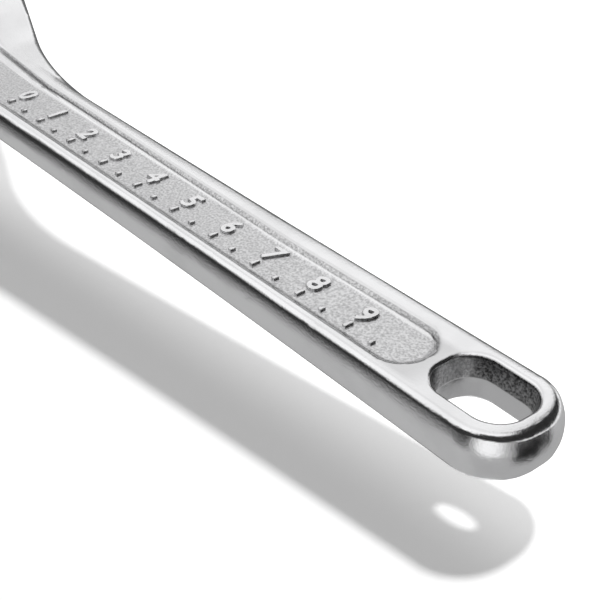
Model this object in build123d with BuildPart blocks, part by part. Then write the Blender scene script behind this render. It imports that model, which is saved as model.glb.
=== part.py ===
from build123d import *
import math
import os

# Adjustable wrench of the 250 mm size: a forged body with handle and fixed jaw, a sliding jaw on a round
# shank, and a worm on a pin that drives the shank's rack. A small spring in the worm takes up its play.
# Frame: the origin lies on the underside of the head, below the crossing of the jaw track and the handle's
# axis. +X runs along the handle to its end, +Y to the sliding jaw's side, +Z up. Lengths are in millimetres.
# In the head's own plane, "along" runs with the jaw track and "out" runs square to it, to the jaw tips.

# Head
head_lean = 22.5
head_thickness = 14.0
chin_along = 33.2
throat_out = 8.5
jaw_depth = 26.5
fixed_face_along = -9.0
fixed_tip_width = 8.0
back_along = -25.0
back_out = -8.0
tip_round = 2.5
chin_top_round = 2.0
face_tip_round = 1.8
throat_round = 1.5

# Handle
handle_reach = 218.65
end_half_width = 10.46
end_corner_round = 9.5
waist_reach = 150.0
far_waist_half_width = 9.38
far_neck_half_width = 8.9
flare_round = 100.0
near_waist_half_width = 10.54
near_neck_half_width = 11.43
near_neck_reach = 78.0
end_thickness = 8.75
neck_thickness = 6.9
ramp_foot_reach = 50.0
ramp_top_reach = 27.0
forging_draft = 14.0
rim_round = 1.3
parting_round = 9.0

# Panel sunk in each face of the handle
panel_depth = 1.35
panel_end_gap = 24.4
panel_end_near_half = 6.1
panel_end_far_half = 4.0
panel_end_round = 4.6
panel_neck_reach = 72.0
panel_neck_near_half = 7.2
panel_neck_far_half = 3.5
panel_head_reach = 37.0
panel_head_near_half = 7.8
panel_head_far_half = 6.3
panel_head_round = 5.0
panel_neck_round = 60.0
panel_wall_draft = 36.0
panel_brim_round = 1.6
panel_foot_round = 1.5

# Hang hole
hang_length = 15.5
hang_width = 11.0
hang_corner_round = 4.6
hang_end_wall = 4.75
hang_draft = 7.0
hang_brim_round = 0.9

# Sliding jaw
rest_opening = 12.0
slide_gap = 0.15
jaw_tip_drop = 0.4
jaw_tip_width = 7.0
jaw_root_width = 17.5
jaw_bulge_out = 24.0
jaw_bulge_width = 13.8
jaw_edge_round = 1.2
jaw_side_gap = 0.1
shank_radius = 5.2
shank_inner_reach = 15.0
shank_outer_reach = 19.5
shank_end_chamfer = 0.8
shank_fit = 0.08
track_end_gap = 0.5
web_width = 5.2
web_fit = 0.15

# Worm and rack
worm_radius = 6.7
worm_root_radius = 4.7
worm_length = 18.0
worm_along = 6.0
worm_end_play = 0.2
worm_out = -10.2
worm_lead = 4.5
thread_crest = 1.1
thread_root = 2.2
thread_sink = 0.3
rack_root_gap = 0.3
rack_flank_gap = 0.22
window_side_gap = 0.5
window_corner_round = 0.8
window_rack_view = 1.6
window_brim_round = 0.5

# Pin and spring
pin_radius = 2.0
pin_fit = 0.02
pin_running_fit = 0.06
pin_inner_seat = 6.0
pin_outer_sink = 1.5
pin_slot_width = 0.8
pin_slot_depth = 1.0
spring_bore_radius = 3.4
spring_bore_depth = 7.0
spring_wire_radius = 0.3
spring_mean_radius = 2.75
spring_pitch = 1.6
spring_turns = 4
spring_end_gap = 0.1

# Points this close to a face or an edge count as on it
touch = 0.01

# Values that follow
mid = head_thickness / 2
lean = math.radians(head_lean)
track = Vector(math.sin(lean), math.cos(lean), 0)
outward = Vector(-math.cos(lean), math.sin(lean), 0)
upward = Vector(0, 0, 1)
tip_out = throat_out + jaw_depth
rest_face_along = fixed_face_along + rest_opening
middle = Plane.XY.offset(mid)
head_plane = Plane(origin=(0, 0, mid), x_dir=track, z_dir=(0, 0, 1))
through = 2 * head_thickness
hang_reach = handle_reach - hang_end_wall - hang_length / 2
bore_end_along = fixed_face_along - shank_inner_reach - track_end_gap
slot_end_along = fixed_face_along - track_end_gap
window_low_out = worm_out - worm_radius - window_side_gap
window_top_out = window_rack_view - shank_radius
window_length = worm_length + 2 * worm_end_play
pin_inner_along = worm_along - window_length / 2 - pin_inner_seat
pin_outer_along = chin_along - pin_outer_sink

# The rack's grooves stand where the worm's ridge passes at rest, and slant with it
lead_angle = math.atan(worm_lead / (math.pi * (worm_radius + worm_root_radius)))
rack_slant = Vector(0, 0, math.cos(lead_angle)) + track * math.sin(lead_angle)
flank_slope = (thread_root - thread_crest) / 2 / (worm_radius - worm_root_radius)
groove_floor = thread_crest + 2 * (rack_flank_gap - rack_root_gap * flank_slope)
groove_mouth_out = -shank_radius - rack_root_gap
groove_depth = worm_out + worm_radius + rack_root_gap - groove_mouth_out
groove_mouth = groove_floor + 2 * groove_depth * flank_slope
rack_start = rest_face_along - shank_inner_reach - groove_mouth / 2
rack_stop = rest_face_along + shank_outer_reach + groove_mouth / 2
first_groove = math.ceil((rack_start - worm_along) / worm_lead)
last_groove = math.floor((rack_stop - worm_along) / worm_lead)
rack_places = [worm_along + step * worm_lead for step in range(first_groove, last_groove + 1)]


def on_head(along, out):
    """The plan point at these head distances."""
    point = track * along + outward * out
    return (point.X, point.Y)


def track_plane(along, out):
    """A plane square to the jaw track, with its x to the jaw tips."""
    spot = track * along + outward * out
    return Plane(origin=(spot.X, spot.Y, mid), x_dir=outward, z_dir=track)


def half_thickness(reach):
    """The handle's half thickness at a distance from the track."""
    share = (reach - ramp_foot_reach) / (handle_reach - ramp_foot_reach)
    return (neck_thickness + share * (end_thickness - neck_thickness)) / 2


def over_panel(spot):
    """A point's height above the panel's floor."""
    return panel_plane.to_local_coords(spot).Z


def touches_panel(edge):
    """True where an edge has an end on the panel's floor."""
    return any(abs(over_panel(end.center())) < touch for end in edge.vertices())


def in_mouth(spot):
    """True where a point lies on the walls of the mouth."""
    local = head_plane.to_local_coords(spot)
    return local.X > fixed_face_along - touch and local.Y > throat_out - touch


def across_ramp(spot):
    """True on the seams that run across the ramp at its foot, middle and top."""
    seams = (ramp_foot_reach, (ramp_foot_reach + ramp_top_reach) / 2, ramp_top_reach)
    return any(abs(spot.X - seam) < touch for seam in seams)


def on_jaw_flats(spot):
    """True along the sliding jaw's working face and its sole."""
    local = head_plane.to_local_coords(spot)
    return local.X < rest_face_along + touch or local.Y < throat_out + slide_gap + touch


def rack_spot(along):
    """The point on the track's middle line at this distance along it."""
    spot = track * along
    return (spot.X, spot.Y, mid)


def in_hang_hole(spot):
    """True on the walls of the hang hole."""
    reach = hang_length / 2 + hang_brim_round
    return abs(spot.X - hang_reach) < reach and abs(spot.Y) < hang_width / 2 + hang_brim_round


def lowest(edge):
    """The height of an edge's lower end."""
    return min(end.Z for end in edge.vertices())


def on_faces(edge):
    """True where an edge lies on the head's upper or lower face."""
    return all(abs(abs(end.Z - mid) - mid) < touch for end in edge.vertices())


def at(corner, height=mid):
    """The point at this place of the head, on the parting plane or at another height."""
    return (*on_head(*corner), height)


# The panel's floor runs along with the handle's taper, at one depth below its face
taper_slope = (end_thickness - neck_thickness) / 2 / (handle_reach - ramp_foot_reach)
panel_foot_height = mid + half_thickness(ramp_foot_reach) - panel_depth
panel_plane = Plane(
    origin=(ramp_foot_reach, 0, panel_foot_height),
    x_dir=(1, 0, taper_slope),
    z_dir=(-taper_slope, 0, 1),
)
panel_end = handle_reach - panel_end_gap - ramp_foot_reach
panel_neck = panel_neck_reach - ramp_foot_reach
panel_head = panel_head_reach - ramp_foot_reach

# Forged body: the upper half is modelled on the parting plane with its draft, then mirrored
far_neck_reach = (chin_along - far_neck_half_width * math.cos(lean)) / math.sin(lean)
far_neck = (far_neck_reach, far_neck_half_width)
chin_top = (chin_along, throat_out)
throat = (fixed_face_along, throat_out)
face_tip = (fixed_face_along, tip_out)
tip_outer = (fixed_face_along - fixed_tip_width, tip_out)
handle_end = handle_reach + rim_round
rim_height = mid + (neck_thickness - rim_round) / 2
with BuildPart() as body:
    with BuildSketch(middle):
        with BuildLine():
            end_edge = Line((handle_reach, -end_half_width), (handle_reach, end_half_width))
            ThreePointArc(end_edge @ 1, (waist_reach, far_waist_half_width), far_neck)
            near_side = ThreePointArc(
                end_edge @ 0,
                (waist_reach, -near_waist_half_width),
                (near_neck_reach, -near_neck_half_width),
            )
            near_neck = TangentArc(near_side @ 1, on_head(back_along, back_out), tangent=near_side % 1)
            back = TangentArc(near_neck @ 1, on_head(*tip_outer), tangent=near_neck % 1)
            Polyline(
                back @ 1,
                on_head(fixed_face_along + throat_round, tip_out),
                on_head(chin_along, throat_out + throat_round),
                far_neck,
            )
        make_face()
        fillet(vertices().group_by(Axis.X)[-1], radius=end_corner_round)
        fillet(vertices().sort_by_distance((*far_neck, mid))[0], radius=flare_round)
        fillet(vertices().sort_by_distance(at(tip_outer))[0], radius=tip_round)
    extrude(amount=mid)
    draft(faces().filter_by(Axis.Z, reverse=True), neutral_plane=middle, angle=forging_draft)

    # Side view: thick head, thin handle, and a ramp of two arcs between them
    with BuildSketch(Plane.XZ):
        with BuildLine():
            foot = (ramp_foot_reach, mid + half_thickness(ramp_foot_reach))
            top = (ramp_top_reach, head_thickness)
            halfway = ((foot[0] + top[0]) / 2, (foot[1] + top[1]) / 2)
            handle_top = Line((handle_end, mid + half_thickness(handle_end)), foot)
            lower = TangentArc(handle_top @ 1, halfway, tangent=handle_top % 1)
            upper = TangentArc(lower @ 1, top, tangent=lower % 1)
            Polyline(
                upper @ 1,
                (-handle_reach, head_thickness),
                (-handle_reach, mid),
                (handle_end, mid),
                handle_top @ 0,
            )
        make_face()
    extrude(amount=handle_reach, both=True, mode=Mode.INTERSECT)

    # Mouth between the jaws, with straight walls
    with BuildSketch(head_plane):
        with BuildLine():
            Polyline(
                (fixed_face_along, throat_out),
                (fixed_face_along, tip_out + tip_round),
                (chin_along + tip_round, tip_out + tip_round),
                (chin_along + tip_round, throat_out),
                close=True,
            )
        make_face()
        fillet(vertices().sort_by_distance(at(throat))[0], radius=throat_round)
    extrude(amount=through, mode=Mode.SUBTRACT)
    for corner, radius in ((chin_top, chin_top_round), (face_tip, face_tip_round)):
        upright = body.edges().filter_by(GeomType.LINE).filter_by(lambda edge: edge.length > mid - touch)
        fillet(upright.sort_by_distance(at(corner, mid + mid / 2))[0], radius=radius)

    # Rounded rims along the outside, but not along the mouth or across the ramp
    rim = [
        edge
        for edge in body.edges()
        if lowest(edge) > rim_height and not in_mouth(edge.center()) and not across_ramp(edge.center())
    ]
    fillet(rim, radius=rim_round)

    # Hang hole, narrowest at the parting plane
    with BuildSketch(middle):
        with Locations((hang_reach, 0)):
            RectangleRounded(hang_length, hang_width, hang_corner_round)
    extrude(amount=mid, taper=-hang_draft, mode=Mode.SUBTRACT)

    # Sunk panel with sloping walls
    with BuildSketch(panel_plane):
        with BuildLine():
            Polyline(
                (panel_end, -panel_end_near_half),
                (panel_end, panel_end_far_half),
                (panel_neck, panel_neck_far_half),
                (panel_head, panel_head_far_half),
                (panel_head, -panel_head_near_half),
                (panel_neck, -panel_neck_near_half),
                close=True,
            )
        make_face()
        fillet(vertices().group_by(Axis.X)[-1], radius=panel_end_round)
        fillet(vertices().group_by(Axis.X)[0], radius=panel_head_round)
        neck_bends = vertices().filter_by_position(Axis.X, panel_neck_reach - touch, panel_neck_reach + touch)
        fillet(neck_bends, radius=panel_neck_round)
    extrude(amount=mid, taper=-panel_wall_draft, mode=Mode.SUBTRACT)
    brim = [
        edge
        for edge in body.edges(Select.LAST)
        if not touches_panel(edge) and not across_ramp(edge.center())
    ]
    fillet(brim, radius=panel_brim_round)
    panel_foot = [edge for edge in edges() if touches_panel(edge) and abs(over_panel(edge.center())) < touch]
    fillet(panel_foot, radius=panel_foot_round)
    hang_brim = [edge for edge in edges() if lowest(edge) > rim_height and in_hang_hole(edge.center())]
    fillet(hang_brim, radius=hang_brim_round)

    # Lower half, and a soft swell where the halves meet
    add(mirror(body.part, about=middle, mode=Mode.PRIVATE), clean=False)
    parting = edges().filter_by_position(Axis.Z, mid - touch, mid + touch)
    long_arcs = parting.filter_by(GeomType.CIRCLE).filter_by(lambda edge: edge.length > end_corner_round)
    handle_tip = parting.filter_by_position(Axis.X, handle_reach - touch, handle_reach + touch)
    swell = [edge for edge in long_arcs if not in_hang_hole(edge.center())]
    fillet(swell + handle_tip, radius=parting_round)

    # Keyhole channel for the shank and its web
    with BuildSketch(track_plane(bore_end_along, 0)):
        Circle(shank_radius + shank_fit)
    extrude(amount=chin_along - bore_end_along + tip_round, mode=Mode.SUBTRACT)
    with BuildSketch(head_plane):
        with Locations(((slot_end_along + chin_along + tip_round) / 2, (throat_out + tip_round) / 2)):
            Rectangle(chin_along + tip_round - slot_end_along, throat_out + tip_round)
    extrude(amount=web_width / 2 + web_fit, both=True, mode=Mode.SUBTRACT)

    # Window for the worm and hole for its pin
    with BuildSketch(head_plane):
        with Locations((worm_along, (window_low_out + window_top_out) / 2)):
            RectangleRounded(window_length, window_top_out - window_low_out, window_corner_round)
    extrude(amount=mid, both=True, mode=Mode.SUBTRACT)
    fillet(edges(Select.LAST).filter_by(on_faces), radius=window_brim_round)
    with BuildSketch(track_plane(pin_inner_along, worm_out)):
        Circle(pin_radius + pin_fit)
    extrude(amount=chin_along - pin_inner_along + tip_round, mode=Mode.SUBTRACT)
body.part.label = "wrench_body"

# Sliding jaw: hook, web and round shank with the rack cut in its worm side
with BuildPart() as jaw:
    with BuildSketch(head_plane):
        with BuildLine():
            jaw_face_tip = (rest_face_along, tip_out - jaw_tip_drop)
            jaw_tip = (rest_face_along + jaw_tip_width, tip_out - jaw_tip_drop)
            jaw_heel = (rest_face_along + jaw_root_width, throat_out + slide_gap)
            Polyline(jaw_heel, (rest_face_along, throat_out + slide_gap), jaw_face_tip, jaw_tip)
            ThreePointArc(jaw_tip, (rest_face_along + jaw_bulge_width, jaw_bulge_out), jaw_heel)
        make_face()
        fillet(vertices().sort_by_distance(at(jaw_tip))[0], radius=tip_round)
        fillet(vertices().sort_by_distance(at(jaw_face_tip))[0], radius=face_tip_round)
    extrude(amount=mid - jaw_side_gap, both=True)
    hook_sides = jaw.faces().filter_by(Axis.Z)
    hook_rim = [edge for edge in hook_sides.edges() if not on_jaw_flats(edge.center())]
    fillet(hook_rim, radius=jaw_edge_round)
    with BuildSketch(head_plane):
        with Locations((rest_face_along + shank_outer_reach / 2, (throat_out + slide_gap) / 2)):
            Rectangle(shank_outer_reach, throat_out + slide_gap)
    extrude(amount=web_width / 2, both=True)
    with BuildSketch(track_plane(rest_face_along - shank_inner_reach, 0)):
        Circle(shank_radius)
    extrude(amount=shank_inner_reach + shank_outer_reach)
    shank_end = edges().sort_by(Axis(origin=(0, 0, mid), direction=track))[0]
    chamfer(shank_end, length=shank_end_chamfer)
    for place in rack_places:
        with BuildSketch(Plane(origin=rack_spot(place), x_dir=track, z_dir=rack_slant)):
            with BuildLine():
                Polyline(
                    (-groove_floor / 2, worm_out + worm_radius + rack_root_gap),
                    (groove_floor / 2, worm_out + worm_radius + rack_root_gap),
                    (groove_mouth / 2, groove_mouth_out),
                    (-groove_mouth / 2, groove_mouth_out),
                    close=True,
                )
            make_face()
        extrude(amount=shank_radius * 2, both=True, mode=Mode.SUBTRACT)
jaw.part.label = "sliding_jaw"

# Worm: a helical ridge on a bored core, trimmed square at both ends
worm_start = worm_along - worm_length / 2
helix_start = worm_along - math.ceil(worm_length / 2 / worm_lead + 0.5) * worm_lead
helix = Helix(pitch=worm_lead, height=2 * (worm_along - helix_start), radius=worm_root_radius)
ridge_path = track_plane(helix_start, worm_out) * helix
with BuildPart() as worm:
    with BuildSketch(Plane(origin=ridge_path @ 0, x_dir=outward, z_dir=ridge_path % 0)):
        with BuildLine():
            Polyline(
                (-thread_sink, -thread_root / 2 - thread_sink * flank_slope),
                (-thread_sink, thread_root / 2 + thread_sink * flank_slope),
                (worm_radius - worm_root_radius, thread_crest / 2),
                (worm_radius - worm_root_radius, -thread_crest / 2),
                close=True,
            )
        make_face()
    sweep(path=ridge_path, is_frenet=True)
    with BuildSketch(track_plane(worm_start, worm_out)):
        Circle(head_thickness)
    extrude(amount=worm_length, mode=Mode.INTERSECT)
    with BuildSketch(track_plane(worm_start, worm_out)):
        Circle(worm_root_radius)
    extrude(amount=worm_length)
    with BuildSketch(track_plane(worm_start, worm_out)):
        Circle(pin_radius + pin_running_fit)
    extrude(amount=worm_length, mode=Mode.SUBTRACT)
    with BuildSketch(track_plane(worm_start + worm_length - spring_bore_depth, worm_out)):
        Circle(spring_bore_radius)
    extrude(amount=spring_bore_depth, mode=Mode.SUBTRACT)
worm.part.label = "adjusting_worm"

# Pin that the worm turns on, with a screwdriver slot at its outer end
with BuildPart() as pin:
    with BuildSketch(track_plane(pin_inner_along, worm_out)):
        Circle(pin_radius)
    extrude(amount=pin_outer_along - pin_inner_along)
    with BuildSketch(track_plane(pin_outer_along - pin_slot_depth, worm_out)):
        Rectangle(pin_radius * 3, pin_slot_width)
    extrude(amount=pin_slot_depth, mode=Mode.SUBTRACT)
pin.part.label = "worm_pin"
spring_foot = worm_start + worm_length - spring_bore_depth + spring_wire_radius + spring_end_gap


def coil_point(turn):
    """The spring's centre line after this many turns."""
    angle = 2 * math.pi * turn
    axis_point = track * (spring_foot + spring_pitch * turn) + outward * worm_out + Vector(0, 0, mid)
    return axis_point + (outward * math.cos(angle) + upward * math.sin(angle)) * spring_mean_radius


def coil_heading(turn):
    """The centre line's direction after this many turns."""
    angle = 2 * math.pi * turn
    around = (upward * math.cos(angle) - outward * math.sin(angle)) * spring_mean_radius
    return (around + track * (spring_pitch / (2 * math.pi))).normalized()


def biarc_middle(start, start_way, stop, stop_way):
    """Where two arcs meet that join two points and keep both directions, and the direction there."""
    chord = stop - start
    both_ways = start_way + stop_way
    square = 2 * (1 - start_way.dot(stop_way))
    along = chord.dot(both_ways)
    reach = (-along + math.sqrt(along * along + square * chord.dot(chord))) / square
    near = start + start_way * reach
    far = stop - stop_way * reach
    return (near + far) * 0.5, (far - near).normalized()


# Spring in the worm's counterbore: quarter turns of two arcs each
with BuildPart() as spring:
    with BuildLine() as coil:
        for quarter in range(4 * spring_turns):
            start, stop = coil_point(quarter / 4), coil_point((quarter + 1) / 4)
            start_way, stop_way = coil_heading(quarter / 4), coil_heading((quarter + 1) / 4)
            meet, meet_way = biarc_middle(start, start_way, stop, stop_way)
            TangentArc(start, meet, tangent=start_way)
            TangentArc(meet, stop, tangent=meet_way)
    with BuildSketch(Plane(origin=coil.line @ 0, z_dir=coil.line % 0)):
        Circle(spring_wire_radius)
    sweep(path=coil.line)
spring.part.label = "worm_spring"

# Least gap between neighbouring turns, measured on points of the centre line
points_per_turn = 24
coil_points = [coil_point(step / points_per_turn) for step in range(spring_turns * points_per_turn + 1)]
turn_gaps = [
    (coil_points[second] - coil_points[first]).length - 2 * spring_wire_radius
    for second in range(len(coil_points))
    for first in range(second - points_per_turn // 2)
]
print(f"least gap of the spring to itself: {min(turn_gaps):.2f} mm")

os.makedirs("parts", exist_ok=True)
for piece in (body, jaw, worm, pin, spring):
    export_step(piece.part, f"parts/{piece.part.label}.step")
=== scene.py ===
import logging
import math
from dataclasses import dataclass
from enum import Enum
from functools import partial, reduce

import bmesh
import bpy
from mathutils import Matrix, Vector


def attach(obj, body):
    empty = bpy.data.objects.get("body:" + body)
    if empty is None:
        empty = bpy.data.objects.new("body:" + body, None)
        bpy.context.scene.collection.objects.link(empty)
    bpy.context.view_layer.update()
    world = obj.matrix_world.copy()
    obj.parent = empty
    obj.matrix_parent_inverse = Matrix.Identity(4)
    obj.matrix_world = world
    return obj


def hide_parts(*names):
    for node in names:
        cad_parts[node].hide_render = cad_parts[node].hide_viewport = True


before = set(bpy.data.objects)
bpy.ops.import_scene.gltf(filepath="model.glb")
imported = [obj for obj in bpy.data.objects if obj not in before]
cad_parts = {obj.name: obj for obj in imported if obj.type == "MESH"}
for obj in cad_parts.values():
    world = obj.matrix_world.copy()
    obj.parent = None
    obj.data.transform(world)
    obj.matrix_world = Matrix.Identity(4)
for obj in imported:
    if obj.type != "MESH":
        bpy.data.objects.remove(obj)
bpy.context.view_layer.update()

Pair = tuple[float, float]
Triple = tuple[float, float, float]
Quad = tuple[float, float, float, float]
Socket = bpy.types.NodeSocket
Feed = Socket | float | Quad
Finish = bpy.types.Material
Piece = bpy.types.Object
Shape = bmesh.types.BMesh
Faces = list[bmesh.types.BMFace]

MM = 0.001
WHITE = (1.0, 1.0, 1.0, 1.0)
UP = Vector((0.0, 0.0, 1.0))
ALONG = Vector((1.0, 0.0, 0.0))
ACROSS = Vector((0.0, 1.0, 0.0))
log = logging.getLogger("wrench")

# Shared with the solids, lengths in millimetres
HEAD_LEAN = math.radians(22.5)
MID_HEIGHT = 7.0
TRACK = Vector((math.sin(HEAD_LEAN), math.cos(HEAD_LEAN), 0.0))
OUTWARD = Vector((-math.cos(HEAD_LEAN), math.sin(HEAD_LEAN), 0.0))
HANDLE_REACH = 218.65
HOLE_REACH = 206.15
RAMP_FOOT_REACH = 50.0
END_THICKNESS = 8.75
NECK_THICKNESS = 6.9
PANEL_DEPTH = 1.35
TAPER_SLOPE = (END_THICKNESS - NECK_THICKNESS) / 2 / (HANDLE_REACH - RAMP_FOOT_REACH)


class Face(Enum):
    """The two broad faces of the handle."""

    UPPER = 1
    LOWER = -1


class Blend(Enum):
    """What a mix node mixes, with the places of its two inputs and of its output."""

    FLOAT = (2, 3, 0)
    RGBA = (6, 7, 2)


class Ray(Enum):
    """The kinds of ray that a stage object can be hidden from."""

    CAMERA = "visible_camera"
    DIFFUSE = "visible_diffuse"
    GLOSSY = "visible_glossy"
    SHADOW = "visible_shadow"
    TRANSMISSION = "visible_transmission"


def half_thickness(reach: float) -> float:
    """The handle's half thickness in millimetres at this distance from the track."""
    return NECK_THICKNESS / 2 + (reach - RAMP_FOOT_REACH) * TAPER_SLOPE


def sunk_depth(spot: Vector) -> float:
    """The depth in millimetres of a point below the nearer broad face of the handle."""
    return half_thickness(spot.x) - abs(spot.z - MID_HEIGHT)


def progress(value: float, start: float, stop: float) -> float:
    """How far a value has come from start to stop, held between 0 and 1."""
    return min(max((value - start) / (stop - start), 0.0), 1.0)


# Node writing


class NodeWriter:
    """Writes the nodes of one material, world or node group."""

    def __init__(self, tree: bpy.types.NodeTree) -> None:
        """Keeps the tree and starts it empty."""
        self.tree = tree
        tree.nodes.clear()

    def add(self, kind: str, **settings: object) -> bpy.types.Node:
        """Adds a node.

        Args:
            kind: The node's type name, without its leading ShaderNode where it has one.
            settings: Properties of the node, such as its operation.

        Returns:
            The new node.
        """
        node = self.tree.nodes.new(kind if kind.startswith("Node") else f"ShaderNode{kind}")
        for name, value in settings.items():
            setattr(node, name, value)
        return node

    def feed(self, socket: Socket, value: Feed) -> None:
        """Links an input socket, or sets a plain value on it.

        Args:
            socket: The input socket.
            value: The socket to link from, or the plain value.
        """
        if isinstance(value, Socket):
            self.tree.links.new(value, socket)
        else:
            socket.default_value = value

    def end(self, kind: str, surface: Socket) -> None:
        """Adds the tree's output node and feeds its surface."""
        self.feed(self.add(kind).inputs["Surface"], surface)

    def math(self, operation: str, *values: Feed, clamp: bool = False) -> Socket:
        """Adds a math node.

        Args:
            operation: The math node's operation.
            values: Sockets or numbers for its inputs, in order.
            clamp: Whether the result is held between 0 and 1.

        Returns:
            The result socket.
        """
        node = self.add("Math", operation=operation, use_clamp=clamp)
        for socket, value in zip(node.inputs, values):
            self.feed(socket, value)
        return node.outputs[0]

    def product(self, *masks: Socket) -> Socket:
        """Multiplies masks with each other."""
        return reduce(partial(self.math, "MULTIPLY"), masks)

    def ramp(self, value: Socket, limits: Pair, ends: Pair = (0.0, 1.0)) -> Socket:
        """Maps a value smoothly from one range to another.

        Args:
            value: The input socket.
            limits: The two inputs between which the result changes.
            ends: The results at these inputs and beyond.

        Returns:
            The result socket.
        """
        node = self.add("MapRange", interpolation_type="SMOOTHSTEP")
        names = ("Value", "From Min", "From Max", "To Min", "To Max")
        for name, item in zip(names, (value, *limits, *ends)):
            self.feed(node.inputs[name], item)
        return node.outputs["Result"]

    def rise(self, place: Socket, limits: Pair) -> Socket:
        """A mask that rises from 0 to 1 between two places in millimetres."""
        return self.ramp(place, (limits[0] * MM, limits[1] * MM))

    def fall(self, place: Socket, limits: Pair) -> Socket:
        """A mask that falls from 1 to 0 between two places in millimetres."""
        return self.ramp(place, (limits[0] * MM, limits[1] * MM), (1.0, 0.0))

    def window(self, place: Socket, limits: Quad) -> Socket:
        """A mask that rises between the first two places and falls between the last two."""
        return self.product(self.rise(place, limits[:2]), self.fall(place, limits[2:]))

    def noise(self, vector: Socket, scale: Feed, look: Pair) -> Socket:
        """Adds a noise texture.

        Args:
            vector: Its coordinates.
            scale: Its scale.
            look: Its detail and its roughness.

        Returns:
            The value socket.
        """
        node = self.add("TexNoise")
        for name, item in zip(("Vector", "Scale", "Detail", "Roughness"), (vector, scale, *look)):
            self.feed(node.inputs[name], item)
        return node.outputs["Fac"]

    def stretch(self, vector: Socket, scale: Triple, turn: float = 0.0) -> Socket:
        """Stretches coordinates and turns them about the upright axis.

        Args:
            vector: The coordinates.
            scale: The factor along each axis.
            turn: The turn in degrees.

        Returns:
            The new coordinates.
        """
        node = self.add("Mapping", vector_type="POINT")
        self.feed(node.inputs["Vector"], vector)
        node.inputs["Rotation"].default_value = UP * math.radians(turn)
        node.inputs["Scale"].default_value = scale
        return node.outputs["Vector"]

    def mix(self, blend: Blend, mask: Feed, first: Feed, second: Feed) -> Socket:
        """Mixes two numbers or two colours by a mask.

        Args:
            blend: What is mixed.
            mask: The share of the second.
            first: The result where the mask is 0.
            second: The result where it is 1.

        Returns:
            The result socket.
        """
        node = self.add("Mix", data_type=blend.name)
        *places, result = blend.value
        for place, item in zip((0, *places), (mask, first, second)):
            self.feed(node.inputs[place], item)
        return node.outputs[result]

    def between(self, mask: Feed, first: Feed, second: Feed) -> Socket:
        """Mixes two numbers by a mask."""
        return self.mix(Blend.FLOAT, mask, first, second)

    def tint(self, mask: Feed, first: Feed, second: Feed) -> Socket:
        """Mixes two colours by a mask."""
        return self.mix(Blend.RGBA, mask, first, second)

    def bump(self, height: Socket, distance: float) -> Socket:
        """Adds a bump.

        Args:
            height: Its height.
            distance: Its depth in metres.

        Returns:
            The normal socket.
        """
        node = self.add("Bump")
        node.inputs["Distance"].default_value = distance
        node.inputs["Strength"].default_value = 1.0
        self.feed(node.inputs["Height"], height)
        return node.outputs["Normal"]

    def object_place(self) -> tuple[Socket, Socket, Socket]:
        """Adds the Object coordinates, taken apart.

        Returns:
            The sockets of x, y and z in metres.
        """
        node = self.add("SeparateXYZ")
        self.feed(node.inputs["Vector"], self.add("TexCoord").outputs["Object"])
        return tuple(node.outputs)


class GroupWriter(NodeWriter):
    """Writes a shader node group that has a vector input and float sockets."""

    def __init__(self, name: str, inputs: dict[str, float], outputs: tuple[str, ...]) -> None:
        """Starts the group.

        Args:
            name: The group's name.
            inputs: Names and defaults of its float inputs.
            outputs: Names of its float outputs.
        """
        super().__init__(bpy.data.node_groups.new(name, "ShaderNodeTree"))
        interface = self.tree.interface
        interface.new_socket("Vector", in_out="INPUT", socket_type="NodeSocketVector")
        for label, value in inputs.items():
            socket = interface.new_socket(label, in_out="INPUT", socket_type="NodeSocketFloat")
            socket.default_value = value
        for label in outputs:
            interface.new_socket(label, in_out="OUTPUT", socket_type="NodeSocketFloat")
        self.entry = self.add("NodeGroupInput").outputs
        self.leave = self.add("NodeGroupOutput").inputs


@dataclass(frozen=True)
class BlastedGrain:
    """A blasted metal skin: pebbles, finer pits between them and a slow swell.

    Each look is a noise's detail and roughness, and each scale but the first is a share of the first.
    """

    scale: float = 1500.0
    swell: float = 0.5
    pebble_look: Pair = (3.0, 0.55)
    pit_look: Pair = (2.0, 0.6)
    pit_scale: float = 2.7
    pit_height: float = 0.35
    swell_look: Pair = (1.0, 0.5)
    swell_scale: float = 0.13
    tone_range: Pair = (0.3, 0.7)

    def build(self) -> bpy.types.NodeTree:
        """Writes the group.

        Returns:
            A group with the outputs Height and Tone.
        """
        nodes = GroupWriter("blasted_grain", {"Scale": self.scale, "Swell": self.swell}, ("Height", "Tone"))
        vector = nodes.entry["Vector"]
        scale = nodes.entry["Scale"]
        pebbles = nodes.noise(vector, scale, self.pebble_look)
        pits = nodes.noise(vector, nodes.math("MULTIPLY", scale, self.pit_scale), self.pit_look)
        slow = nodes.noise(vector, nodes.math("MULTIPLY", scale, self.swell_scale), self.swell_look)
        rough = nodes.math("MULTIPLY_ADD", pits, self.pit_height, pebbles)
        nodes.feed(nodes.leave["Height"], nodes.math("MULTIPLY_ADD", slow, nodes.entry["Swell"], rough))
        nodes.feed(nodes.leave["Tone"], nodes.ramp(pebbles, self.tone_range))
        return nodes.tree


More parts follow.
